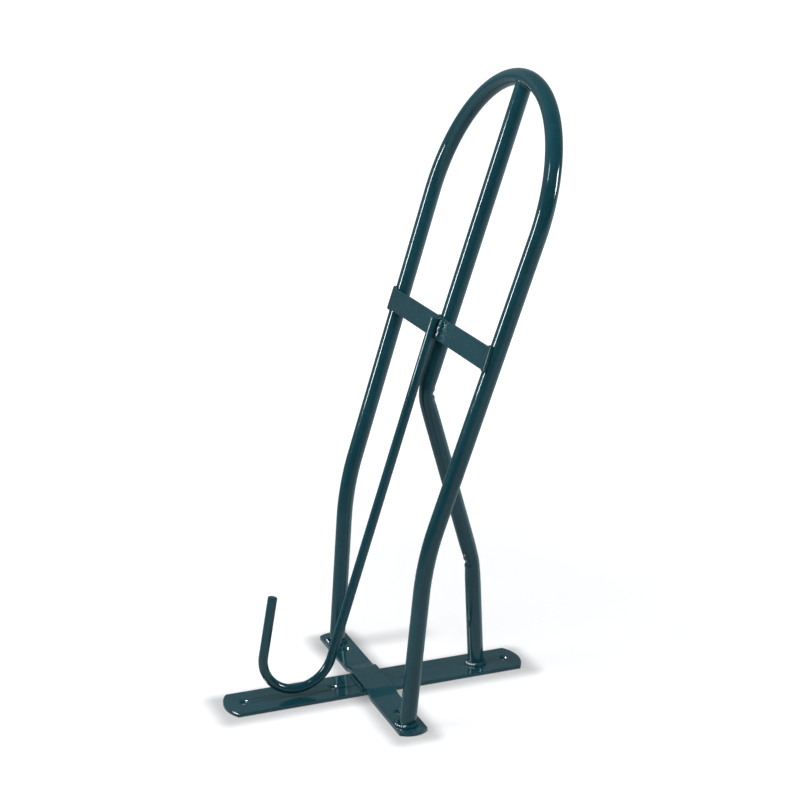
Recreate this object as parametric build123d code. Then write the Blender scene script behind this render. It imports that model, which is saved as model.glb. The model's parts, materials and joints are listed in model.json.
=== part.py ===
from build123d import *
import os
from math import atan, cos, radians, sin, tan

# Wall-mounted saddle rack with a bridle hook, welded from steel tube, flat bar and rod.
#
# Frame, in millimetres: the wall face of both wall bars is Z = 0 and +Z points out into the room.
# The long wall bar runs along X and stands upright on the wall: +X is up, and the hook is at -X.
# The short wall bar runs along Y. The origin is on the wall face where their centre lines cross.
# The rack is symmetric about the plane Y = 0, but for small sideways shifts of the short bar and of
# the hook.

# Stock sizes
TUBE_D = 17.2
TUBE_WALL = 2.0
ROD_D = 10.0
BAR_T = 4.0
LONG_BAR_W = 50.0
CROSS_BAR_W = 30.5
STRAP_W = 23.5
STRAP_T = 3.0

# Long wall bar: both ends are cut to a large radius
LONG_BAR_LOW = -163.0
LONG_BAR_HIGH = 171.8
LONG_BAR_END_R = 42.0

# Short wall bar: it steps up over the long bar and down again
CROSS_BAR_HALF = 133.5
CROSS_BAR_CENTRE = (0.3, 2.4)
CROSS_BAR_END_R = 22.0
STEP_FLAT_HALF = 29.0
STEP_RAMP = 10.0
STEP_BEND_R = 18.0

# Countersunk screw holes, at these places along each bar
HOLE_D = 6.5
SINK_D = 10.5
LONG_BAR_HOLES = (-142.0, -43.5, 43.5, 154.0)
CROSS_BAR_HOLES = (-83.0, 83.0)

# Saddle hoop: two legs that lean up the wall, two knees, two arms and a round arch
FOOT_X = -0.9
FOOT_HALF_SPACING = 111.0
LEG_LEAN = 5.4
KNEE_Z = 183.0
KNEE_R = 300.0
ARM_LEAN = 19.1
ARM_LENGTH = 344.5
ARCH_R = 135.6

# Ridge tube: an upright, a slight bend, a strut, a sharper bend and a long run up to the arch
RIDGE_FOOT_X = 120.8
UPRIGHT_LEAN = -2.1
LOW_BEND_Z = 124.1
STRUT_LEAN = -15.4
RIDGE_RUN_LEAN = 19.3
RIDGE_STRAP_GAP = 0.7
RIDGE_BENDS_R = (45.0, 40.0)

# Strap across the arms and the ridge tube: from the knee to its middle, its half length and its
# tilt, which puts its +Y end a little further out
STRAP_ALONG = 213.6
STRAP_HALF = 131.8
STRAP_TILT = 0.3

# Bridle hook: a straight rod, a J of two radii and a straight tip
HOOK_ABOVE_STRAP_MIDDLE = 10.0
HOOK_LEAN = 18.45
HOOK_ACROSS = -5.5
HOOK_J_START_Z = 41.0
HOOK_J_ARCS = ((42.3, 60.0), (35.8, 112.0))
HOOK_TIP = 66.0
HOOK_STANDOFF = 0.2

# Weld beads
BEAD = 3.5
BEAD_R = 2.8
STRAP_BEAD_R = 1.6
BEAD_SINK = 0.6
CROSSING_BEAD_HALF = 21.0
STRAP_BEAD = 7.0

TUBE_R = TUBE_D / 2
ROD_R = ROD_D / 2
BIG = 1000.0


def save(shape, name):
    shape.label = name
    export_step(shape, f"parts/{name}.step")


def lean(angle):
    """Unit vector out from the wall that leans up the wall by an angle in degrees."""
    return Vector(sin(radians(angle)), 0, cos(radians(angle)))


def below_bar_face():
    """Everything on the wall side of the wall bars' outer face."""
    return Pos(0, 0, BAR_T - BIG / 2) * Box(BIG, BIG, BIG)


def tube_along(path, outer_r, inner_r=0.0):
    """A tube, or a rod when inner_r is 0, with its centre line on a path."""
    section = Circle(outer_r)
    if inner_r > 0:
        section -= Circle(inner_r)
    return sweep(Plane(origin=path @ 0, z_dir=path % 0) * section, path=path)


# Hoop centre line. In a side view it turns at the knee, in a front view each side is one straight line.
LEG_UP = lean(LEG_LEAN)
ARM_UP = lean(ARM_LEAN)
ARM_OUT = Vector(-cos(radians(ARM_LEAN)), 0, sin(radians(ARM_LEAN)))
LEG_LENGTH = (KNEE_Z - BAR_T) / cos(radians(LEG_LEAN))
FOOT = Vector(FOOT_X, 0, BAR_T)
KNEE = FOOT + LEG_UP * LEG_LENGTH
HOOP_LENGTH = LEG_LENGTH + ARM_LENGTH


def find_splay():
    """Slope of each hoop side in the front view that makes it tangent to the arch."""
    slope = 0.0
    for _ in range(30):
        slope = (ARCH_R / cos(atan(slope)) - FOOT_HALF_SPACING) / HOOP_LENGTH
    return slope


SPLAY = find_splay()
ARCH_CENTRE = KNEE + ARM_UP * ARM_LENGTH
APEX = ARCH_CENTRE + ARM_UP * ARCH_R


def half_spacing(along):
    """Half the distance between the hoop's two sides, this far up from the feet."""
    return FOOT_HALF_SPACING + SPLAY * along


def hoop_path():
    """The hoop's centre line, from one foot round to the other, starting inside the wall bar."""
    edges = []
    tangent_along = HOOP_LENGTH - ARCH_R * sin(atan(SPLAY))
    ends = []
    for side in (-1, 1):
        below = -2 * BAR_T
        start = FOOT + LEG_UP * below + Vector(0, side * half_spacing(below), 0)
        knee = KNEE + Vector(0, side * half_spacing(LEG_LENGTH), 0)
        end = KNEE + ARM_UP * (tangent_along - LEG_LENGTH) + Vector(0, side * half_spacing(tangent_along), 0)
        side_line = FilletPolyline(start, knee, end, radius=KNEE_R)
        edges += side_line.edges()
        ends.append(end)
    edges.append(ThreePointArc(ends[0], APEX, ends[1]))
    return Wire(edges)


def flat_bar(low, high, width, end_radius):
    """A flat bar along X on the wall face, with both ends cut to a radius."""
    bar = Pos((low + high) / 2, 0, BAR_T / 2) * Box(high - low, width, BAR_T)
    for tip, side in ((low, 1), (high, -1)):
        round_end = Pos(tip + side * end_radius, 0, BAR_T / 2) * Cylinder(end_radius, 2 * BAR_T)
        corner = end_radius - (end_radius**2 - (width / 2) ** 2) ** 0.5
        inner = tip + side * corner
        end_zone = Pos((tip + inner) / 2, 0, BAR_T / 2) * Box(abs(inner - tip), width, BAR_T)
        bar = bar - (end_zone - round_end)
    return bar


def screw_hole():
    """A through hole at the origin, countersunk from the outer face of a wall bar."""
    sink_depth = (SINK_D - HOLE_D) / 2
    sink = Pos(0, 0, BAR_T - sink_depth / 2) * Cone(HOLE_D / 2, SINK_D / 2, sink_depth)
    return Pos(0, 0, BAR_T / 2) * Cylinder(HOLE_D / 2, 3 * BAR_T) + sink


def make_wall_bar_long():
    bar = flat_bar(LONG_BAR_LOW, LONG_BAR_HIGH, LONG_BAR_W, LONG_BAR_END_R)
    for place in LONG_BAR_HOLES:
        bar -= Pos(place, 0, 0) * screw_hole()
    return bar


def make_wall_bar_cross():
    """The short bar: its plan shape, cut out of a strip that is bent over the long bar."""
    # The step stays centred on the long bar when the short bar is shifted sideways.
    flat_low = -STEP_FLAT_HALF - CROSS_BAR_CENTRE[1]
    flat_high = STEP_FLAT_HALF - CROSS_BAR_CENTRE[1]
    under = [
        (-CROSS_BAR_HALF, 0),
        (flat_low - STEP_RAMP, 0),
        (flat_low, BAR_T),
        (flat_high, BAR_T),
        (flat_high + STEP_RAMP, 0),
        (CROSS_BAR_HALF, 0),
    ]
    outline = under + [(along, height + BAR_T) for along, height in reversed(under)]
    side_view = make_face(Polyline(*outline, close=True))
    bends = side_view.vertices().filter_by(lambda corner: abs(corner.X) < CROSS_BAR_HALF - 1)
    side_view = Plane.YZ * fillet(bends, STEP_BEND_R)
    strip = extrude(side_view, amount=CROSS_BAR_W / 2, both=True)
    plan = flat_bar(-CROSS_BAR_HALF, CROSS_BAR_HALF, CROSS_BAR_W, CROSS_BAR_END_R)
    plan_face = plan.faces().sort_by(Axis.Z)[0]
    column = extrude(plan_face, amount=3 * BAR_T, dir=(0, 0, 1))
    bar = strip & (Rot(0, 0, 90) * column)
    for place in CROSS_BAR_HOLES:
        bar -= Pos(0, place, 0) * screw_hole()
    return Pos(CROSS_BAR_CENTRE[0], CROSS_BAR_CENTRE[1], 0) * bar


def ridge_path():
    """The ridge tube's centre line in the plane Y = 0, from inside the long bar to the arch."""
    foot = Vector(RIDGE_FOOT_X, 0, BAR_T)
    up = lean(UPRIGHT_LEAN)
    strut = lean(STRUT_LEAN)
    low_bend = foot + up * ((LOW_BEND_Z - BAR_T) / up.Z)
    # The long run lies against the strap, and the strut meets it where their two lines cross.
    run_up = lean(RIDGE_RUN_LEAN)
    on_strap = strap_frame(0, -RIDGE_STRAP_GAP, 0)
    gap = (low_bend.X - on_strap.X) - (low_bend.Z - on_strap.Z) * tan(radians(RIDGE_RUN_LEAN))
    rise = gap / (tan(radians(RIDGE_RUN_LEAN)) - tan(radians(STRUT_LEAN)))
    high_bend = low_bend + strut * (rise / strut.Z)
    top = on_strap + run_up * ((APEX.Z - on_strap.Z) / run_up.Z)
    start = foot - up * (2 * BAR_T)
    return FilletPolyline(start, low_bend, high_bend, top, radius=RIDGE_BENDS_R)


def strap_frame(along, out, across):
    """A point given along the arms from the strap's centre line, out from the arms' plane, and across."""
    strap_rise = across * tan(radians(STRAP_TILT))
    return KNEE + ARM_UP * (STRAP_ALONG + strap_rise + along) + ARM_OUT * out + Vector(0, across, 0)


def make_strap():
    """The strap: a flat bar on the hook side of the arms, from one arm's centre line to the other's."""
    middle = strap_frame(0, TUBE_R + STRAP_T / 2, 0)
    lengthwise = strap_frame(0, 0, 1) - strap_frame(0, 0, 0)
    face = Plane(origin=middle, x_dir=lengthwise, z_dir=ARM_OUT)
    return face * Box(2 * STRAP_HALF, STRAP_W, STRAP_T)


def arc_from(point, heading, radius, turn):
    """An arc in an X-Z plane that turns clockwise seen from -Y. Gives the edge, end and heading."""
    centre_angle = heading + 90
    centre = point - Vector(cos(radians(centre_angle)), 0, sin(radians(centre_angle))) * radius
    spots = []
    for part in (0.5, 1.0):
        angle = radians(centre_angle - turn * part)
        spots.append(centre + Vector(cos(angle), 0, sin(angle)) * radius)
    return ThreePointArc(point, spots[0], spots[1]), spots[1], heading - turn


def hook_path():
    """The hook's centre line, from its top end down through the J to its tip."""
    rod_up = lean(HOOK_LEAN)
    at_strap = strap_frame(0, TUBE_R + STRAP_T + ROD_R + HOOK_STANDOFF, HOOK_ACROSS)
    top = at_strap + rod_up * HOOK_ABOVE_STRAP_MIDDLE
    point = at_strap - rod_up * ((at_strap.Z - HOOK_J_START_Z) / rod_up.Z)
    edges = [Line(top, point)]
    heading = -90 - HOOK_LEAN
    for radius, turn in HOOK_J_ARCS:
        edge, point, heading = arc_from(point, heading, radius, turn)
        edges.append(edge)
    tip = point + Vector(cos(radians(heading)), 0, sin(radians(heading))) * HOOK_TIP
    edges.append(Line(point, tip))
    return Wire(edges)


def foot_bead(centre, up):
    """A ring of weld round a tube's foot: a short cone on the tube's line, less the tube itself."""
    on_tube = Plane(origin=centre, z_dir=up)
    ring = on_tube * Cone(TUBE_R + 2 * BEAD, TUBE_R, 2 * BEAD)
    core = on_tube * Cylinder(TUBE_R, 6 * BEAD)
    return ring - core - below_bar_face()


def bead_bar(start, end, radius=BEAD_R):
    """A round bar of weld metal between two points."""
    way = end - start
    return Plane(origin=start + way * 0.5, z_dir=way) * Cylinder(radius, way.length)


def strap_bead(across, wraps):
    """Weld round the strap where it crosses a tube: above and below, and round its end if it wraps."""
    out = TUBE_R + BEAD_SINK
    edge = STRAP_W / 2
    half = STRAP_BEAD / 2
    side = 1 if across > 0 else -1
    near = across - side * half
    far = side * (STRAP_HALF + BEAD_SINK) if wraps else across + side * half
    beads = []
    for end in (-edge, edge):
        beads.append(bead_bar(strap_frame(end, out, near), strap_frame(end, out, far), STRAP_BEAD_R))
    if wraps:
        beads.append(bead_bar(strap_frame(-edge, out, far), strap_frame(edge, out, far), STRAP_BEAD_R))
    return beads


hoop_line = hoop_path()
ridge_line = ridge_path()
hook_line = hook_path()

hoop_solid = tube_along(hoop_line, TUBE_R)
hoop_tube = tube_along(hoop_line, TUBE_R, TUBE_R - TUBE_WALL) - below_bar_face()
ridge_solid = tube_along(ridge_line, TUBE_R) - below_bar_face()
ridge_tube = tube_along(ridge_line, TUBE_R, TUBE_R - TUBE_WALL) - below_bar_face() - hoop_solid
hook = tube_along(hook_line, ROD_R)
strap = make_strap()
long_bar = make_wall_bar_long()
cross_bar = make_wall_bar_cross()

save(long_bar, "wall_bar_long")
save(cross_bar, "wall_bar_cross")
save(hoop_tube, "saddle_hoop")
save(ridge_tube, "ridge_tube")
save(strap, "cross_strap")
save(hook, "bridle_hook")

# Left and right are as seen from the room with +X up, so right is -Y.
for side, side_name in ((-1, "right"), (1, "left")):
    foot = FOOT + Vector(0, side * FOOT_HALF_SPACING, 0)
    leg_up = (LEG_UP + Vector(0, side * SPLAY, 0)).normalized()
    save(foot_bead(foot, leg_up), f"foot_weld_{side_name}")
save(foot_bead(Vector(RIDGE_FOOT_X, 0, BAR_T), lean(UPRIGHT_LEAN)), "ridge_foot_weld")

# The apex bead is the metal within a bead's width of both the ridge tube and the inside of the arch.
arch_axis = Plane(origin=ARCH_CENTRE, z_dir=ARM_OUT)
ridge_top = Plane(origin=ridge_line @ 1 - (ridge_line % 1) * TUBE_R, z_dir=ridge_line % 1)
near_both = (ridge_top * Cylinder(TUBE_R + BEAD, 2 * TUBE_R)) & (arch_axis * Torus(ARCH_R, TUBE_R + BEAD))
apex_weld = near_both - (arch_axis * Torus(ARCH_R, TUBE_R)) - (ridge_top * Cylinder(TUBE_R, 4 * TUBE_R))
save(apex_weld, "apex_weld")

arm_spacing = half_spacing(LEG_LENGTH + STRAP_ALONG)
crossings = (("right", -arm_spacing, True), ("middle", 0.0, False), ("left", arm_spacing, True))
for place, across, wraps in crossings:
    bead = Part() + strap_bead(across, wraps)
    save(bead - strap - hoop_solid - ridge_solid - hook, f"strap_weld_{place}")

hook_beads = []
for side in (-1, 1):
    out = TUBE_R + STRAP_T + BEAD_SINK
    across = HOOK_ACROSS + side * (ROD_R + BEAD_SINK)
    half = STRAP_W / 2 - BEAD_R
    hook_beads.append(bead_bar(strap_frame(-half, out, across), strap_frame(half, out, across)))
save((Part() + hook_beads) - strap - hook, "hook_weld")

for side, side_name in ((-1, "lower"), (1, "upper")):
    x = CROSS_BAR_CENTRE[0] + side * (CROSS_BAR_W / 2 + BEAD_SINK)
    z = BAR_T + BEAD_SINK
    bead = bead_bar(Vector(x, -CROSSING_BEAD_HALF, z), Vector(x, CROSSING_BEAD_HALF, z))
    save(bead - long_bar - cross_bar, f"crossing_weld_{side_name}")
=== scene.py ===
import json
import math
import bpy
from mathutils import Matrix, Vector, noise

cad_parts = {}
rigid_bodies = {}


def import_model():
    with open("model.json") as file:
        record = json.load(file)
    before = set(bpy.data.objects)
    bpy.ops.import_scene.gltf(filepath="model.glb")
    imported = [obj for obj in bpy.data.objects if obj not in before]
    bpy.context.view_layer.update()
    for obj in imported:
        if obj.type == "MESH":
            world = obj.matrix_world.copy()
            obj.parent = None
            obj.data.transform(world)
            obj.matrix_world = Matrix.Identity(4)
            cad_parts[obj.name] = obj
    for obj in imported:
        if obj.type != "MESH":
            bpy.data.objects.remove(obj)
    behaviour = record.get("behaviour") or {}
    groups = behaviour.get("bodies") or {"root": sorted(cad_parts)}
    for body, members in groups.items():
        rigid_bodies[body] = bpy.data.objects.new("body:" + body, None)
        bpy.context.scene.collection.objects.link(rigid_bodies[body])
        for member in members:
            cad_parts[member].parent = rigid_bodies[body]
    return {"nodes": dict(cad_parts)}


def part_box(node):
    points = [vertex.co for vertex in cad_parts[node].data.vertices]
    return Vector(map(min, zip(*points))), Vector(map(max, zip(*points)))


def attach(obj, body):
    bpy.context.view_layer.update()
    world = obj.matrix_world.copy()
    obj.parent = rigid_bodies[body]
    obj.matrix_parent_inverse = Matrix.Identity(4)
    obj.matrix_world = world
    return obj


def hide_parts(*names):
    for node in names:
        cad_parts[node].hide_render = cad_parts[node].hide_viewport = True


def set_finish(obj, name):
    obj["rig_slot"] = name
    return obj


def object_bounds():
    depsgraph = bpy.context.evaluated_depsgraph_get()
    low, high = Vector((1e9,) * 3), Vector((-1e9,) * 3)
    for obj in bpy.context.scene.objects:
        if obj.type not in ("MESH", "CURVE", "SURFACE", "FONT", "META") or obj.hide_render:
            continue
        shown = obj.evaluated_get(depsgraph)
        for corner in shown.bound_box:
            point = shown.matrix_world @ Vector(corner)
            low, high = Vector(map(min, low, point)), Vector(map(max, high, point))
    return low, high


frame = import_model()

# Looks of a wall-mounted saddle rack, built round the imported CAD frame. Lengths are in metres.
# The frame is the part's own: the wall face is Z = 0, +Z points into the room and +X is up the wall.

CAD_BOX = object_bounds()
NODES = frame["nodes"]

# Stock sizes
TUBE_R = 0.0086
ROD_R = 0.005
BAR_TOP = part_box("wall_bar_long")[1].z

# Ridge tube, seen from the side: leans from the wall's normal in degrees, where it bends and with what
# radii, and its gap to the strap
UPRIGHT_LEAN = -2.1
STRUT_LEAN = -15.4
RUN_LEAN = 19.3
LOW_BEND_Z = 0.1241
BEND_RADII = (0.045, 0.040)
RIDGE_STRAP_GAP = 0.0007

# Its cold bends: how far the tube is squashed and how deep the fold inside is, with their reach. The
# squash bulges the sides by a share of its depth. The fold fades round the tube by a power, and has
# two lips, each a share of its depth and some reaches away from its middle.
SQUASH = 0.0009
SQUASH_REACH = 0.013
SIDE_BULGE = 0.45
FOLD = 0.0016
FOLD_REACH = 0.0022
FOLD_SHARPNESS = 1.5
LIP_SHARE = 0.35
LIP_REACHES = 2.2

# Hoop: two legs, two knees, two arms and the arch, and the rounds in which its spread is worked out
FOOT_X = -0.0009
FOOT_HALF_SPACING = 0.111
LEG_LEAN = 5.4
KNEE_Z = 0.183
KNEE_R = 0.3
ARM_LEAN = 19.1
ARM_LENGTH = 0.3445
ARCH_R = 0.1356
SPREAD_ROUNDS = 20

# Hook: a straight rod, a J of two radii with their turns in degrees, and a straight tip
HOOK_LEAN = 18.45
HOOK_ACROSS = -0.0055
HOOK_ABOVE_STRAP_MIDDLE = 0.010
HOOK_J_START_Z = 0.041
HOOK_J_ARCS = ((0.0423, 60.0), (0.0358, 112.0))
HOOK_TIP = 0.066
HOOK_STANDOFF = 0.0002
ROD_END_ROUNDING = 0.0006

# Strap: its width, its thickness and its tilt in degrees
STRAP_W = 0.0235
STRAP_T = 0.003
STRAP_TILT = 0.3

# The nodes that a finely meshed tube or rod stands for
TUBES = ("saddle_hoop", "ridge_tube", "bridle_hook")

# How finely the tubes and the rod are meshed along and round
RIDGE_STEP = 0.0011
HOOP_STEP = 0.0025
ROD_STEP = 0.0015
TUBE_SIDES = 48
ROD_SIDES = 36

# The flat bars' softened edges: how near two points count as one, how wide and in how many steps an
# edge is softened, and from what angle in degrees
SAME_POINT = 0.00001
SOFT_EDGE = 0.0006
SOFT_EDGE_STEPS = 3
SOFT_EDGE_FROM = 40

# Weld beads: the ripples' pitch, the mesh, and how many wanders and grains there are in a metre. The
# skin lies at a share of the radius before the ripples, lumps and grains are added. An open bead
# tapers over some of its radii at each end, and its way is read a few steps each side.
RIPPLE_PITCH = 0.0021
BEAD_STEP = 0.00045
BEAD_SIDES = 20
RING_SPOTS = 72
WANDERS_PER_M = 260
GRAINS_PER_M = 700
BARE_BEAD = 0.9
GRAIN_SHARE = 0.5
BEAD_TAPER = 1.6
BEAD_LEAST = 0.02
WAY_STEPS = 5
OFF_AXIS = Vector((0.31, 0.17, 0.93))

# A bead's place in metres times these gives it wanders of its own. The apex bead's are set by a number.
SEED_ALONG = 900
SEED_ACROSS = 400
CROSSING_SEED = 500
APEX_SEED = 3.0

# Each bead's radius, and where its middle lies: how far off the metal that it joins, how far past the
# tube's or the strap's side, and how much shorter than the strap is wide
FOOT_BEAD_R = 0.0033
FOOT_BEAD_LIFT = 0.0001
FOOT_BEAD_OUT = 0.0004
APEX_BEAD_R = 0.0021
APEX_BEAD_LEVEL = -0.0007
APEX_BEAD_CORNER = 0.0005
APEX_BEAD_DROP = 0.0004
STRAP_BEAD_R = 0.0021
STRAP_BEAD_LIFT = 0.0007
STRAP_BEAD_OUT = 0.0010
RIDGE_BEAD_R = 0.0015
HOOK_BEAD_LIFT = 0.0004
HOOK_BEAD_SHORT = 0.0015
CROSSING_BEAD_R = 0.0021
CROSSING_BEAD_LIFT = 0.0003

# The hook's beads: name, side of the rod, distance from the rod and radius
HOOK_PASSES = (
    ("right", -1, 0.0001, 0.0017),
    ("right_outer", -1, 0.0043, 0.0027),
    ("left", 1, 0.0005, 0.0026),
)

# The powder coat's colours
COAT_DARK = (0.0050, 0.043, 0.059, 1)
COAT_LIGHT = (0.0075, 0.056, 0.075, 1)
COAT_MIST = (0.012, 0.066, 0.086, 1)
COAT_SPECK = (0.030, 0.085, 0.100, 1)
COAT_THIN = (0.035, 0.095, 0.110, 1)
# COAT_SHADE is painted shade, laid into the welds' crevices where little light reaches
COAT_SHADE = (0.0015, 0.008, 0.012, 1)

# How many of its clouds, specks, patches, rags, waves and orange-peel dimples there are in a metre
CLOUDS_PER_M = 14.0
FINE_CLOUDS_PER_M = 160.0
SPECKS_PER_M = 260.0
PATCHES_PER_M = 38.0
RAGS_PER_M = 420.0
WAVES_PER_M = 90.0
PEEL_PER_M = 620.0

# How deep its waves and its orange peel are, how wide its worn edges are and how far its painted crevice
# shade reaches, its index of refraction, and how much of a clear skin it has
WAVE_DEPTH = 0.0008
PEEL_DEPTH = 0.00010
PEEL_STRENGTH = 0.05
WORN_EDGE = 0.0011
PAINTED_SHADE_REACH = 0.0035
COAT_IOR = 1.5
CLEAR_SHARE = 0.35

# Its roughness from its glossiest to its dullest, what a dull coat's dullness is multiplied by there,
# what a worn edge adds, the clear skin's own roughness, and the cloudiness that it goes by
LEAST_ROUGH = 0.06
MOST_ROUGH = 0.13
DULL_SPREAD = 1.5
WORN_ROUGH = 0.14
CLEAR_ROUGH = 0.03
ROUGH_CLOUD = (0.3, 0.7)

# How each pattern becomes a share of a colour: from these two values, to these two
CLOUD_SHARE = (0.35, 0.65, 0.0, 1.0)
MIST_SHARE = (0.45, 0.75, 0.0, 0.35)
SPECK_SHARE = (0.05, 0.09, 1.0, 0.0)
PATCH_SHARE = (0.5, 0.62, 0.0, 0.22)
SHADE_SHARE = (0.35, 0.85, 0.9, 0.0)
EDGE_SHARE = (0.80, 0.995, 1.0, 0.0)
RAG_SHARE = (0.35, 0.62, 0.15, 0.9)

# A colour Mix node's inputs, for the factor and the two colours, and its output
MIX_INPUTS = (0, 6, 7)
MIX_OUTPUT = 2

# The camera stands where the photographer stood. Its spot is in metres, its azimuth, elevation and roll
# are in degrees, its lens is in millimetres and its shifts are shares of the picture's width.
CAMERA_SPOT = (-0.6143, -1.7381, 0.8777)
CAMERA_AZIMUTH = -20.772
CAMERA_ELEVATION = 17.259
CAMERA_ROLL = -0.491
CAMERA_LENS = 84.73
CAMERA_SHIFT = (-0.01035, 0.01476)

# The floor: half its width, its height from the wall face, its own glow near the rack and far off, the
# distances for near and far, and its colour
FLOOR_HALF = 9.0
FLOOR_Z = -0.0003
FLOOR_GLOW = 0.60
FLOOR_FAR_GLOW = 1.02
FLOOR_NEAR = 0.40
FLOOR_FAR = 1.6
FLOOR_COLOUR = (0.47, 0.47, 0.48, 1)

# The soft shadows on it, round the wall bars and beside the far leg: how far they reach, and how much
# of the light is left at the metal
SHADE_SHIFT = Vector((-0.001, -0.004, 0))
SHADE_REACH = 0.024
SHADE_DEPTH = 0.60
LEG_SHADE_LENGTH = 0.085
LEG_SHADE_REACH = 0.030
LEG_SHADE_DEPTH = 0.80

# What the gloss mirrors: brightness by the direction's part along an axis. The front is the camera's
# side. Then the mirrored room's tint, and the brightness of the white backdrop that the camera sees.
SIDE_CHANGE = ((-0.2, 0.0), (0.2, 1.0))
FRONT_GLOW = ((-1.0, 0.40), (-0.45, 0.50), (-0.25, 0.46), (-0.08, 0.10), (0.0, 0.05), (1.0, 0.03))
BACK_GLOW = (
    (-1.0, 0.40), (-0.3, 0.42), (-0.1, 0.18), (-0.02, 0.14), (0.2, 0.27),
    (0.35, 0.28), (0.55, 0.18), (0.9, 0.14), (1.0, 0.05),
)
RIGHT_GLOW = ((-1.0, 0.0), (0.78, 0.0), (0.94, 0.45), (1.0, 0.50))
BELOW = ((-1.0, 1.0), (-0.12, 1.0), (-0.02, 0.0), (1.0, 0.0))
COOL_TINT = (0.82, 1.0, 1.05)
BACKDROP_GLOW = 1.05

# The lights: the spot each one faces, the way to it from there, its distance, its width and height,
# its watts, what it shows in, and which pieces it lights
BODY = Vector((0.03, 0.0, 0.34))
CROSSING = Vector((0, 0, 0))
LIGHTS = (
    ("strip", BODY, (-1.53, 0.33, 0.52), 1.65, (0.20, 0.56), 11.0, "glossy", "all"),
    ("high_spot", BODY, (-0.43, -0.18, 0.71), 0.85, (0.12, 0.12), 0.4, "glossy", "all"),
    ("hole_spot", CROSSING, (-0.60, 0.37, 0.78), 1.05, (0.24, 0.24), 28.0, "glossy", "bars"),
    ("right_spot", BODY, (1.50, -0.92, 0.56), 1.85, (0.34, 0.50), 14.0, "glossy", "tubes"),
    ("broad_top", BODY, (-0.3, -0.3, 1.0), 2.2, (1.8, 1.8), 38.0, "diffuse", "all"),
    ("fill", BODY, (-0.2, -1.0, 0.45), 2.6, (1.6, 1.6), 11.0, "diffuse", "all"),
    ("left_side", BODY, (-1.0, 0.15, 0.40), 1.9, (0.9, 0.9), 20.0, "diffuse", "all"),
    ("right_side", BODY, (1.0, -0.45, 0.25), 1.9, (0.9, 0.9), 15.0, "diffuse", "all"),
)


def lean(angle):
    """Unit vector out from the wall that leans up the wall by an angle in degrees."""
    return Vector((math.sin(math.radians(angle)), 0, math.cos(math.radians(angle))))


# ---------------------------------------------------------------- materials


class Graph:
    """A short way to write a material's nodes."""

    def __init__(self, name):
        self.material = bpy.data.materials.new(name)
        self.material.use_nodes = True
        self.tree = self.material.node_tree
        self.shader = self.tree.nodes["Principled BSDF"]

    def node(self, kind, values=None, **settings):
        made = self.tree.nodes.new("ShaderNode" + kind)
        for key, value in settings.items():
            setattr(made, key, value)
        for key, value in (values or {}).items():
            if isinstance(value, bpy.types.NodeSocket):
                self.tree.links.new(value, made.inputs[key])
            else:
                made.inputs[key].default_value = value
        return made

    def math(self, operation, *values):
        return self.node("Math", dict(enumerate(values)), operation=operation).outputs[0]

    def ranged(self, value, low, high, to_low, to_high, **settings):
        """The value from low to high, mapped to a new range and clamped to it."""
        names = ("Value", "From Min", "From Max", "To Min", "To Max")
        values = dict(zip(names, (value, low, high, to_low, to_high)))
        return self.node("MapRange", values, **settings).outputs[0]

    def mix(self, factor, first, second):
        made = self.node("Mix", data_type="RGBA")
        for socket, value in zip(MIX_INPUTS, (factor, first, second)):
            if isinstance(value, bpy.types.NodeSocket):
                self.tree.links.new(value, made.inputs[socket])
            else:
                made.inputs[socket].default_value = value
        return made.outputs[MIX_OUTPUT]

    def noise(self, place, scale, detail=2.0, roughness=0.5):
        values = {"Vector": place, "Scale": scale, "Detail": detail, "Roughness": roughness}
        return self.node("TexNoise", values).outputs[0]

    def bump(self, height, distance, strength, normal=None):
        values = {"Height": height, "Distance": distance, "Strength": strength}
        if normal:
            values["Normal"] = normal
        return self.node("Bump", values).outputs[0]

    def set(self, **sockets):
        for key, value in sockets.items():
            socket = self.shader.inputs[key.replace("_", " ")]
            if isinstance(value, bpy.types.NodeSocket):
                self.tree.links.new(value, socket)
            else:
                socket.default_value = value


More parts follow.
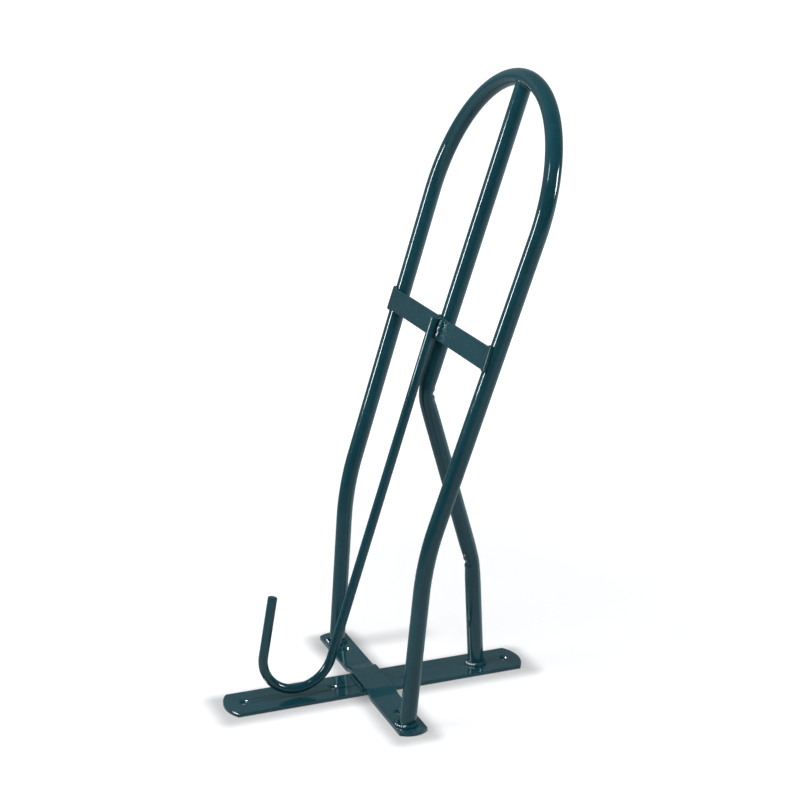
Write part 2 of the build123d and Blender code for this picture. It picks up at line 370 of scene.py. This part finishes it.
def powder_coat(name, ripple, dull, worn_edges=False, painted_crevice_shade=False):
    """Gloss powder coat: a cloudy teal with an orange-peel skin, slow waves and specks.

    With worn_edges the coat is thin and ragged on the edges. The crevice flag gives it painted shade,
    darkest deep in its crevices.
    """
    g = Graph(name)
    place = g.node("TexCoord").outputs["Object"]
    cloud = g.noise(place, CLOUDS_PER_M, detail=4.0)
    fine_cloud = g.noise(place, FINE_CLOUDS_PER_M, detail=3.0)
    colour = g.mix(g.ranged(cloud, *CLOUD_SHARE), COAT_DARK, COAT_LIGHT)
    colour = g.mix(g.ranged(fine_cloud, *MIST_SHARE), colour, COAT_MIST)

    specks = g.node("TexVoronoi", {"Vector": place, "Scale": SPECKS_PER_M}).outputs["Distance"]
    speck = g.ranged(specks, *SPECK_SHARE)
    patchy = g.ranged(g.noise(place, PATCHES_PER_M), *PATCH_SHARE)
    colour = g.mix(g.math("MULTIPLY", speck, patchy), colour, COAT_SPECK)

    # Painted shade: the coat darkens toward COAT_SHADE where ambient occlusion finds its crevices
    if painted_crevice_shade:
        open_air = g.node("AmbientOcclusion", {"Distance": PAINTED_SHADE_REACH}, samples=8).outputs["AO"]
        colour = g.mix(g.ranged(open_air, *SHADE_SHARE), colour, COAT_SHADE)
    rough = g.ranged(fine_cloud, *ROUGH_CLOUD, LEAST_ROUGH + dull, MOST_ROUGH + DULL_SPREAD * dull)
    if worn_edges:
        rounded = g.node("Bevel", {"Radius": WORN_EDGE}, samples=6).outputs[0]
        flat = g.node("NewGeometry").outputs["Normal"]
        facing = g.node("VectorMath", {0: rounded, 1: flat}, operation="DOT_PRODUCT").outputs["Value"]
        edge = g.ranged(facing, *EDGE_SHARE)
        ragged = g.ranged(g.noise(place, RAGS_PER_M, detail=4.0), *RAG_SHARE)
        worn = g.math("MULTIPLY", edge, ragged)
        colour = g.mix(worn, colour, COAT_THIN)
        rough = g.math("ADD", rough, g.math("MULTIPLY", worn, WORN_ROUGH))

    peel = g.bump(g.noise(place, PEEL_PER_M, detail=1.0), PEEL_DEPTH, PEEL_STRENGTH)
    waves = g.bump(g.noise(place, WAVES_PER_M, detail=1.5), WAVE_DEPTH, ripple, peel)
    g.set(Base_Color=colour, Roughness=rough, Normal=waves, IOR=COAT_IOR)
    g.set(Coat_Weight=CLEAR_SHARE, Coat_Roughness=CLEAR_ROUGH + dull, Coat_IOR=COAT_IOR)
    return g.material


tube_coat = powder_coat("tube_coat", ripple=0.035, dull=0.0)
bar_coat = powder_coat("bar_coat", ripple=0.20, dull=0.03, worn_edges=True)
strap_coat = powder_coat("strap_coat", ripple=0.16, dull=0.11, worn_edges=True)
weld_coat = powder_coat("weld_coat", ripple=0.25, dull=0.0, painted_crevice_shade=True)


# ------------------------------------------------------------------ meshes


def inside_box(point):
    """The point, moved into the CAD model's box where it lies outside it."""
    limits = zip(point, *CAD_BOX)
    return Vector([min(max(value, least), most) for value, least, most in limits])


def make_piece(name, verts, faces, material, *stands_for):
    """A smooth mesh piece that rides on the part and stands for CAD nodes."""
    mesh = bpy.data.meshes.new(name)
    mesh.from_pydata([inside_box(vert) for vert in verts], [], faces)
    mesh.update()
    piece = bpy.data.objects.new(name, mesh)
    bpy.context.scene.collection.objects.link(piece)
    mesh.materials.append(material)
    mesh.shade_smooth()
    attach(piece, "root")
    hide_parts(*stands_for)
    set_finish(piece, "powder_coat" if stands_for[0] in TUBES else "coated_weld")


def tube_mesh(name, line, radius_at, around, material, *stands_for, closed=False):
    """A skin round a centre line. line holds (point, side, across) with two unit vectors that span the
    section, and radius_at(ring, angle) gives the skin's distance from the line."""
    verts, faces = [], []
    for ring, (point, side, across) in enumerate(line):
        for step in range(around):
            angle = 2 * math.pi * step / around
            spoke = side * math.cos(angle) + across * math.sin(angle)
            verts.append(point + spoke * radius_at(ring, angle))
    rings = len(line)
    for ring in range(rings if closed else rings - 1):
        here, there = ring * around, (ring + 1) % rings * around
        for step in range(around):
            after = (step + 1) % around
            faces.append((here + step, here + after, there + after, there + step))
    if not closed:
        faces.append(tuple(reversed(range(around))))
        faces.append(tuple(range((rings - 1) * around, rings * around)))
    make_piece(name, verts, faces, material, *stands_for)


# The strap's own axes: along the arms, out from them on the hook's side, and across
ARM_UP = lean(ARM_LEAN)
ARM_OUT = Vector((-ARM_UP.z, 0, ARM_UP.x))
ACROSS = Vector((0, 1, 0))
STRAP_LOW, STRAP_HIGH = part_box("cross_strap")
STRAP_MIDDLE = (STRAP_LOW + STRAP_HIGH) / 2 - ARM_OUT * (TUBE_R + STRAP_T / 2)
STRAP_HALF = (STRAP_HIGH.y - STRAP_LOW.y) / 2


def strap_frame(along, out, across):
    """A point by its distances along the arms from the strap, out from the arms' plane, and across."""
    rise = across * math.tan(math.radians(STRAP_TILT))
    return STRAP_MIDDLE + ARM_UP * (along + rise) + ARM_OUT * out + ACROSS * across


def rounded_line(corners, radii, step):
    """Points and headings at even steps along straight runs joined by tangent arcs.

    Also each arc's middle, as a distance along the line, with the way to its centre.
    """
    line, bends = [], []
    start, done = corners[0], 0.0
    for index in range(1, len(corners)):
        corner = corners[index]
        way = (corner - corners[index - 1]).normalized()
        is_last = index == len(corners) - 1
        end = corner
        if not is_last:
            next_way = (corners[index + 1] - corner).normalized()
            turn = way.angle(next_way)
            radius = radii[index - 1]
            cut = radius * math.tan(turn / 2)
            end = corner - way * cut
        length = (end - start).length
        if length > step / 4:
            count = max(2, round(length / step))
            line += [(start + (end - start) * part / count, way) for part in range(count)]
            done += length
        if is_last:
            line.append((end, way))
            continue
        inward = (next_way - way * way.dot(next_way)).normalized()
        arc = radius * turn
        count = max(2, round(arc / step))
        for part in range(count):
            out, along = math.cos(turn * part / count), math.sin(turn * part / count)
            point = end + inward * radius * (1 - out) + way * radius * along
            line.append((point, way * out + inward * along))
        bends.append((done + arc / 2, inward))
        done += arc
        start = corner + next_way * cut
    return line, bends


def framed(line, side):
    """The line's points with two unit vectors that span the section and don't twist along it."""
    made = []
    for point, way in line:
        side = (side - way * side.dot(way)).normalized()
        made.append((point, side, way.cross(side)))
    return made


def ridge_line():
    """The ridge tube's centre line, framed, and its two bends."""
    low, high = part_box("ridge_foot_weld")
    foot = Vector(((low.x + high.x) / 2, 0, BAR_TOP))
    top_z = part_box("saddle_hoop")[1].z - TUBE_R
    bend_low = foot + lean(UPRIGHT_LEAN) * ((LOW_BEND_Z - foot.z) / lean(UPRIGHT_LEAN).z)
    # The long run lies against the strap, and the strut meets it where their two lines cross.
    on_strap = STRAP_MIDDLE - ARM_OUT * RIDGE_STRAP_GAP
    run_slope = math.tan(math.radians(RUN_LEAN))
    gap = bend_low.x - on_strap.x - (bend_low.z - on_strap.z) * run_slope
    rise = gap / (run_slope - math.tan(math.radians(STRUT_LEAN)))
    bend_high = bend_low + lean(STRUT_LEAN) * (rise / lean(STRUT_LEAN).z)
    top = on_strap + lean(RUN_LEAN) * ((top_z - on_strap.z) / lean(RUN_LEAN).z)
    line, bends = rounded_line([foot, bend_low, bend_high, top], BEND_RADII, RIDGE_STEP)
    return framed(line, Vector((1, 0, 0))), bends


def make_ridge_tube(line, bends):
    """The ridge tube with its cold bends: squashed in the bend's plane, with a pinched fold inside."""
    distance = [0.0]
    for before, here in zip(line, line[1:]):
        distance.append(distance[-1] + (here[0] - before[0]).length)

    def radius_at(ring, angle):
        radius = TUBE_R
        for middle, inward in bends:
            away = distance[ring] - middle
            toward = math.cos(angle) * (1 if inward.x > 0 else -1)
            spread = math.exp(-((away / SQUASH_REACH) ** 2))
            radius -= SQUASH * spread * (toward**2 - SIDE_BULGE * (1 - toward**2))
            inside = max(0.0, toward) ** FOLD_SHARPNESS
            fold = math.exp(-((away / FOLD_REACH) ** 2))
            lips = math.exp(-((abs(away) / FOLD_REACH - LIP_REACHES) ** 2))
            radius -= inside * FOLD * (fold - LIP_SHARE * lips)
        return radius

    tube_mesh("ridge_tube_bent", line, radius_at, TUBE_SIDES, tube_coat, "ridge_tube")


def make_hoop():
    """The hoop, finely meshed: up one leg and arm, round the arch and down the other side."""
    foot = Vector((FOOT_X, 0, BAR_TOP))
    knee = foot + lean(LEG_LEAN) * ((KNEE_Z - BAR_TOP) / lean(LEG_LEAN).z)
    leg_length = (knee - foot).length
    centre = knee + ARM_UP * ARM_LENGTH
    # The legs and arms spread so that they are tangent to the arch. The rounds settle by how much.
    splay = 0.0
    for _ in range(SPREAD_ROUNDS):
        splay = (ARCH_R / math.cos(math.atan(splay)) - FOOT_HALF_SPACING) / (leg_length + ARM_LENGTH)
    tilt = math.atan(splay)
    corners = [
        foot - ACROSS * FOOT_HALF_SPACING,
        knee - ACROSS * (FOOT_HALF_SPACING + splay * leg_length),
        centre - ARM_UP * ARCH_R * math.sin(tilt) - ACROSS * ARCH_R * math.cos(tilt),
    ]
    right_side = rounded_line(corners, [KNEE_R], HOOP_STEP)[0]
    arch = []
    sweep = math.pi + 2 * tilt
    count = round(ARCH_R * sweep / HOOP_STEP)
    for part in range(1, count):
        angle = sweep * part / count - tilt
        spoke = ARM_UP * math.sin(angle) - ACROSS * math.cos(angle)
        arch.append((centre + spoke * ARCH_R, ARM_UP * math.cos(angle) + ACROSS * math.sin(angle)))
    flip = Vector((1, -1, 1))
    left_side = [(point * flip, -(way * flip)) for point, way in reversed(right_side)]
    line = framed(right_side + arch + left_side, Vector((1, 0, 0)))
    tube_mesh("saddle_hoop_tube", line, lambda ring, angle: TUBE_R, TUBE_SIDES, tube_coat, "saddle_hoop")


def make_hook():
    """The hook's rod, finely meshed, with slightly rounded cut ends."""
    rod_up = lean(HOOK_LEAN)
    at_strap = strap_frame(0, TUBE_R + STRAP_T + ROD_R + HOOK_STANDOFF, HOOK_ACROSS)
    corners = [at_strap + rod_up * HOOK_ABOVE_STRAP_MIDDLE]
    point = at_strap - rod_up * ((at_strap.z - HOOK_J_START_Z) / rod_up.z)
    heading = HOOK_LEAN + 180
    for radius, turn in HOOK_J_ARCS:
        cut = radius * math.tan(math.radians(turn / 2))
        corners.append(point + lean(heading) * cut)
        heading += turn
        point = corners[-1] + lean(heading) * cut
    corners.append(point + lean(heading) * HOOK_TIP)
    line = rounded_line(corners, [radius for radius, turn in HOOK_J_ARCS], ROD_STEP)[0]
    for end, inner in ((0, 1), (-1, -2)):
        spot, way = line[end]
        toward = (line[inner][0] - spot).normalized()
        place = 1 if end == 0 else len(line) - 1
        line.insert(place, (spot + toward * ROD_END_ROUNDING, way))
    last = len(line) - 1

    def radius_at(ring, angle):
        return ROD_R - ROD_END_ROUNDING if ring in (0, last) else ROD_R

    tube_mesh("bridle_hook_rod", framed(line, ACROSS), radius_at, ROD_SIDES, tube_coat, "bridle_hook")


def weld_bead(name, corners, radius, node, closed=False, lumps=0.22, ripples=0.12, seed=0.0,
              coat=weld_coat):
    """A hand-laid bead along a path: overlapping ripples, uneven width and tapered ends."""
    path = []
    ends = corners[1:] + corners[:1] if closed else corners[1:]
    for start, end in zip(corners, ends):
        count = max(1, round((end - start).length / BEAD_STEP))
        path += [start + (end - start) * part / count for part in range(count)]
    if not closed:
        path.append(corners[-1])
    total = len(path)
    line = []
    for index, point in enumerate(path):
        if closed:
            ahead, behind = path[(index + WAY_STEPS) % total], path[index - WAY_STEPS]
        else:
            ahead, behind = path[min(index + WAY_STEPS, total - 1)], path[max(index - WAY_STEPS, 0)]
        way = (ahead - behind).normalized()
        side = way.cross(OFF_AXIS).normalized()
        line.append((point, side, way.cross(side)))

    def radius_at(ring, angle):
        point, side, across = line[ring]
        ripple = abs(math.sin(math.pi * ring * BEAD_STEP / RIPPLE_PITCH))
        wander = noise.noise(point * WANDERS_PER_M + Vector((seed, 0, 0)))
        spoke = side * math.cos(angle) + across * math.sin(angle)
        grain = noise.noise((point + spoke * radius) * GRAINS_PER_M)
        size = radius * (BARE_BEAD + ripples * ripple + lumps * wander + GRAIN_SHARE * ripples * grain)
        if closed:
            return size
        from_end = min(ring, total - 1 - ring) * BEAD_STEP / (BEAD_TAPER * radius)
        return size * math.sqrt(max(BEAD_LEAST, 1 - (1 - min(1.0, from_end)) ** 2))

    tube_mesh(name, line, radius_at, BEAD_SIDES, coat, node, closed=closed)


def ring_bead(node, lean_angle):
    """The ring of weld round a tube's foot."""
    low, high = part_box(node)
    middle = Vector(((low.x + high.x) / 2, (low.y + high.y) / 2, BAR_TOP + FOOT_BEAD_LIFT))
    spots = []
    for step in range(RING_SPOTS):
        angle = 2 * math.pi * step / RING_SPOTS
        out = Vector((math.cos(angle) / math.cos(math.radians(lean_angle)), math.sin(angle), 0))
        spots.append(middle + out * (TUBE_R + FOOT_BEAD_OUT))
    seed = middle.x * SEED_ALONG + middle.y * SEED_ACROSS
    weld_bead(node + "_bead", spots, FOOT_BEAD_R, node, closed=True, lumps=0.34, ripples=0.16, seed=seed)


def apex_bead(top, side, across):
    """The weld where the ridge tube's coped end meets the arch: nearly flush on the two faces where
    the tubes are level with each other, and full in the corners between."""
    up = lean(RUN_LEAN)
    level_reach, corner_reach = TUBE_R + APEX_BEAD_LEVEL, TUBE_R + APEX_BEAD_CORNER
    spots = []
    for step in range(RING_SPOTS):
        angle = 2 * math.pi * step / RING_SPOTS
        in_plane, sideways = level_reach * math.cos(angle), corner_reach * math.sin(angle)
        depth = math.sqrt(TUBE_R**2 - in_plane**2) + sideways**2 / (2 * ARCH_R)
        spots.append(top + side * in_plane + across * sideways - up * (depth + APEX_BEAD_DROP))
    weld_bead("apex_weld_bead", spots, APEX_BEAD_R, "apex_weld", closed=True, lumps=0.3, seed=APEX_SEED)


def strap_beads():
    """Beads that hold the strap: a smooth U round each end and two short ones at the ridge tube."""
    edge = STRAP_W / 2
    out = TUBE_R + STRAP_BEAD_LIFT
    for name, hand in (("strap_weld_right", -1), ("strap_weld_left", 1)):
        low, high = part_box(name)
        near = min(abs(low.y), abs(high.y)) * hand
        far = (STRAP_HALF + STRAP_BEAD_OUT) * hand
        corners = [
            strap_frame(-edge, out, near),
            strap_frame(-edge, out, far),
            strap_frame(edge, out, far),
            strap_frame(edge, out, near),
        ]
        weld_bead(name + "_bead", corners, STRAP_BEAD_R, name, lumps=0.0, ripples=0.0, coat=tube_coat)
    low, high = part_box("strap_weld_middle")
    for place, along in (("lower", -edge), ("upper", edge)):
        ends = [strap_frame(along, out, low.y), strap_frame(along, out, high.y)]
        name = f"strap_weld_middle_{place}"
        weld_bead(name, ends, RIDGE_BEAD_R, "strap_weld_middle", seed=along * SEED_ALONG)


def hook_beads():
    """Lumpy beads down both sides of the hook's rod on the strap."""
    low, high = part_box("hook_weld")
    middle = (low.y + high.y) / 2
    half = STRAP_W / 2 - HOOK_BEAD_SHORT
    out = TUBE_R + STRAP_T + HOOK_BEAD_LIFT
    for place, hand, from_rod, radius in HOOK_PASSES:
        across = middle + hand * (ROD_R + from_rod)
        ends = [strap_frame(-half, out, across), strap_frame(half, out, across)]
        seed = SEED_ALONG * from_rod * hand
        weld_bead(f"hook_weld_{place}", ends, radius, "hook_weld", lumps=0.8, ripples=0.24, seed=seed)


def crossing_beads():
    """Beads along the long bar's face, each side of the short bar."""
    for name in ("crossing_weld_lower", "crossing_weld_upper"):
        low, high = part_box(name)
        x, z = (low.x + high.x) / 2, BAR_TOP + CROSSING_BEAD_LIFT
        ends = [Vector((x, low.y, z)), Vector((x, high.y, z))]
        weld_bead(name + "_bead", ends, CROSSING_BEAD_R, name, lumps=0.4, seed=x * CROSSING_SEED)


FLAT_COATS = {"wall_bar_long": bar_coat, "wall_bar_cross": bar_coat, "cross_strap": strap_coat}


def paint_frame():
    """Gives the CAD nodes their coats and softens the flat bars' sawn edges."""
    for name, node in NODES.items():
        coat = FLAT_COATS.get(name, tube_coat)
        for place in node.material_slots:
            place.material = coat
        if name in FLAT_COATS:
            node.modifiers.new("weld", "WELD").merge_threshold = SAME_POINT
            bevel = node.modifiers.new("soft_edges", "BEVEL")
            bevel.width = SOFT_EDGE
            bevel.segments = SOFT_EDGE_STEPS
            bevel.limit_method = "ANGLE"
            bevel.angle_limit = math.radians(SOFT_EDGE_FROM)
            bevel.harden_normals = True


paint_frame()
RIDGE, RIDGE_BENDS = ridge_line()
make_ridge_tube(RIDGE, RIDGE_BENDS)
make_hoop()
make_hook()
ring_bead("foot_weld_right", LEG_LEAN)
ring_bead("foot_weld_left", LEG_LEAN)
ring_bead("ridge_foot_weld", UPRIGHT_LEAN)
apex_bead(*RIDGE[-1])
strap_beads()
hook_beads()
crossing_beads()

# ------------------------------------------------------------------- stage


def contact_shade(g, place, low, high, reach, depth):
    """1 on the open floor, falling to depth over a reach round a box that stands on it."""
    middle = (low + high) / 2 + SHADE_SHIFT
    # A metre more up and down, so that only the distance along the floor counts
    half = (high - low) / 2 + Vector((0, 0, 1))
    offset = g.node("VectorMath", {0: place, 1: middle}, operation="SUBTRACT").outputs[0]
    folded = g.node("VectorMath", {0: offset}, operation="ABSOLUTE").outputs[0]
    outside = g.node("VectorMath", {0: folded, 1: half}, operation="SUBTRACT").outputs[0]
    beyond = g.node("VectorMath", {0: outside, 1: (0, 0, 0)}, operation="MAXIMUM").outputs[0]
    gap = g.node("VectorMath", {0: beyond}, operation="LENGTH").outputs["Value"]
    return g.ranged(gap, 0.0, reach, depth, 1.0, interpolation_type="SMOOTHSTEP")


def floor_shade(g, place):
    """The soft shadows round the two wall bars and beside the far leg."""
    shade = 1.0
    for bar in ("wall_bar_long", "wall_bar_cross"):
        low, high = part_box(bar)
        shade = g.math("MULTIPLY", shade, contact_shade(g, place, low, high, SHADE_REACH, SHADE_DEPTH))
    low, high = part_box("foot_weld_left")
    middle = (low.y + high.y) / 2
    start, end = Vector((low.x, middle, 0)), Vector((high.x + LEG_SHADE_LENGTH, middle, 0))
    beside = contact_shade(g, place, start, end, LEG_SHADE_REACH, LEG_SHADE_DEPTH)
    return g.math("MULTIPLY", shade, beside)


def make_floor():
    """A plain pale floor that glows a little, less near the rack so that its soft shadows show."""
    half = FLOOR_HALF
    around = ((-half, -half), (half, -half), (half, half), (-half, half))
    corners = [(x, y, FLOOR_Z) for x, y in around]
    mesh = bpy.data.meshes.new("floor")
    mesh.from_pydata(corners, [], [(0, 1, 2, 3)])
    floor = bpy.data.objects.new("floor", mesh)
    bpy.context.scene.collection.objects.link(floor)
    g = Graph("pale_floor")
    place = g.node("TexCoord").outputs["Object"]
    away = g.node("VectorMath", {0: place}, operation="LENGTH").outputs["Value"]
    glow = g.ranged(away, FLOOR_NEAR, FLOOR_FAR, FLOOR_GLOW, FLOOR_FAR_GLOW)
    shade = floor_shade(g, place)
    g.set(Base_Color=g.mix(shade, (0, 0, 0, 1), FLOOR_COLOUR), Roughness=0.9, Specular_IOR_Level=0.0)
    g.set(Emission_Color=(1, 1, 1, 1), Emission_Strength=g.math("MULTIPLY", glow, shade))
    mesh.materials.append(g.material)
    floor.visible_glossy = False
    floor.visible_diffuse = False


def lit_group(kind):
    """A collection of the pieces that a light is limited to: the tubes, or the bars and their welds."""
    bars = [NODES["wall_bar_long"], NODES["wall_bar_cross"]]
    starts = ("foot_weld", "ridge_foot", "hook_weld")
    welds = [piece for piece in bpy.data.objects if piece.name.startswith(starts)]
    tubes = [piece for piece in bpy.data.objects if piece.get("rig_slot") == "powder_coat"]
    group = bpy.data.collections.new(kind + "_lit")
    for piece in tubes if kind == "tubes" else bars + welds:
        group.objects.link(piece)
    return group


def area_light(name, aim, way, distance, size, power, shows_in, lights):
    """A softbox that shows only in gloss or only in diffuse, and that the camera never sees."""
    data = bpy.data.lights.new(name, "AREA")
    data.shape = "RECTANGLE"
    data.size, data.size_y = size
    data.energy = power
    lamp = bpy.data.objects.new(name, data)
    bpy.context.scene.collection.objects.link(lamp)
    way = Vector(way)
    lamp.location = aim + way.normalized() * distance
    lamp.rotation_euler = way.to_track_quat("Z", "Y").to_euler()
    lamp.visible_camera = False
    lamp.visible_glossy = shows_in == "glossy"
    lamp.visible_diffuse = shows_in == "diffuse"
    if lights != "all":
        lamp.light_linking.receiver_collection = lit_group(lights)


def make_world():
    """White to the camera. In the gloss it is a dim studio: a lit floor, a dark front, a paler back."""
    world = bpy.data.worlds.new("studio")
    bpy.context.scene.world = world
    world.use_nodes = True
    tree = world.node_tree

    def node(kind, **settings):
        made = tree.nodes.new("ShaderNode" + kind)
        for key, value in settings.items():
            setattr(made, key, value)
        return made

    seen = tree.nodes["Background"]
    seen.inputs[0].default_value = (1, 1, 1, 1)
    seen.inputs[1].default_value = BACKDROP_GLOW
    toward = node("SeparateXYZ")
    tree.links.new(node("TexCoord").outputs["Generated"], toward.inputs[0])

    def levels(axis, stops):
        """A cool brightness that follows a direction's part along an axis, from -1 to 1."""
        spread = node("MapRange")
        tree.links.new(toward.outputs[axis], spread.inputs["Value"])
        spread.inputs["From Min"].default_value = -1.0
        made = node("ValToRGB")
        tree.links.new(spread.outputs[0], made.inputs[0])
        ramp = made.color_ramp
        while len(ramp.elements) < len(stops):
            ramp.elements.new(0.5)
        for element, (place, level) in zip(ramp.elements, stops):
            element.position = (place + 1) / 2
            element.color = (*(level * tint for tint in COOL_TINT), 1)
        return made.outputs[0]

    def blend(factor, first, second, kind="MIX"):
        made = node("Mix", data_type="RGBA", blend_type=kind)
        for socket, value in zip(MIX_INPUTS, (factor, first, second)):
            if isinstance(value, float):
                made.inputs[socket].default_value = value
            else:
                tree.links.new(value, made.inputs[socket])
        return made.outputs[MIX_OUTPUT]

    walls = blend(levels("Y", SIDE_CHANGE), levels("Z", FRONT_GLOW), levels("Z", BACK_GLOW))
    edge_floor = blend(1.0, levels("X", RIGHT_GLOW), levels("Z", BELOW), "MULTIPLY")
    around = blend(1.0, walls, edge_floor, "ADD")
    room = node("Background")
    tree.links.new(around, room.inputs[0])
    path = node("LightPath")
    both = node("MixShader")
    tree.links.new(path.outputs["Is Camera Ray"], both.inputs[0])
    tree.links.new(room.outputs[0], both.inputs[1])
    tree.links.new(seen.outputs[0], both.inputs[2])
    tree.links.new(both.outputs[0], tree.nodes["World Output"].inputs[0])


def make_camera():
    """The camera, from where it stands, the way it faces, its roll and its lens."""
    azimuth, elevation = math.radians(CAMERA_AZIMUTH), math.radians(CAMERA_ELEVATION)
    back = Vector((math.sin(azimuth) * math.cos(elevation),
                   -math.cos(azimuth) * math.cos(elevation),
                   math.sin(elevation)))
    right = Vector((math.cos(azimuth), math.sin(azimuth), 0))
    turn = Matrix.Rotation(math.radians(CAMERA_ROLL), 3, back)
    right = turn @ right
    up = back.cross(right)
    data = bpy.data.cameras.new("camera")
    data.lens = CAMERA_LENS
    data.shift_x, data.shift_y = CAMERA_SHIFT
    camera = bpy.data.objects.new("camera", data)
    bpy.context.scene.collection.objects.link(camera)
    turned = Matrix((right, up, back)).transposed().to_4x4()
    camera.matrix_world = Matrix.Translation(CAMERA_SPOT) @ turned
    bpy.context.scene.camera = camera


make_floor()
make_world()
make_camera()
for light in LIGHTS:
    area_light(*light)
bpy.context.scene.view_settings.view_transform = "Standard"
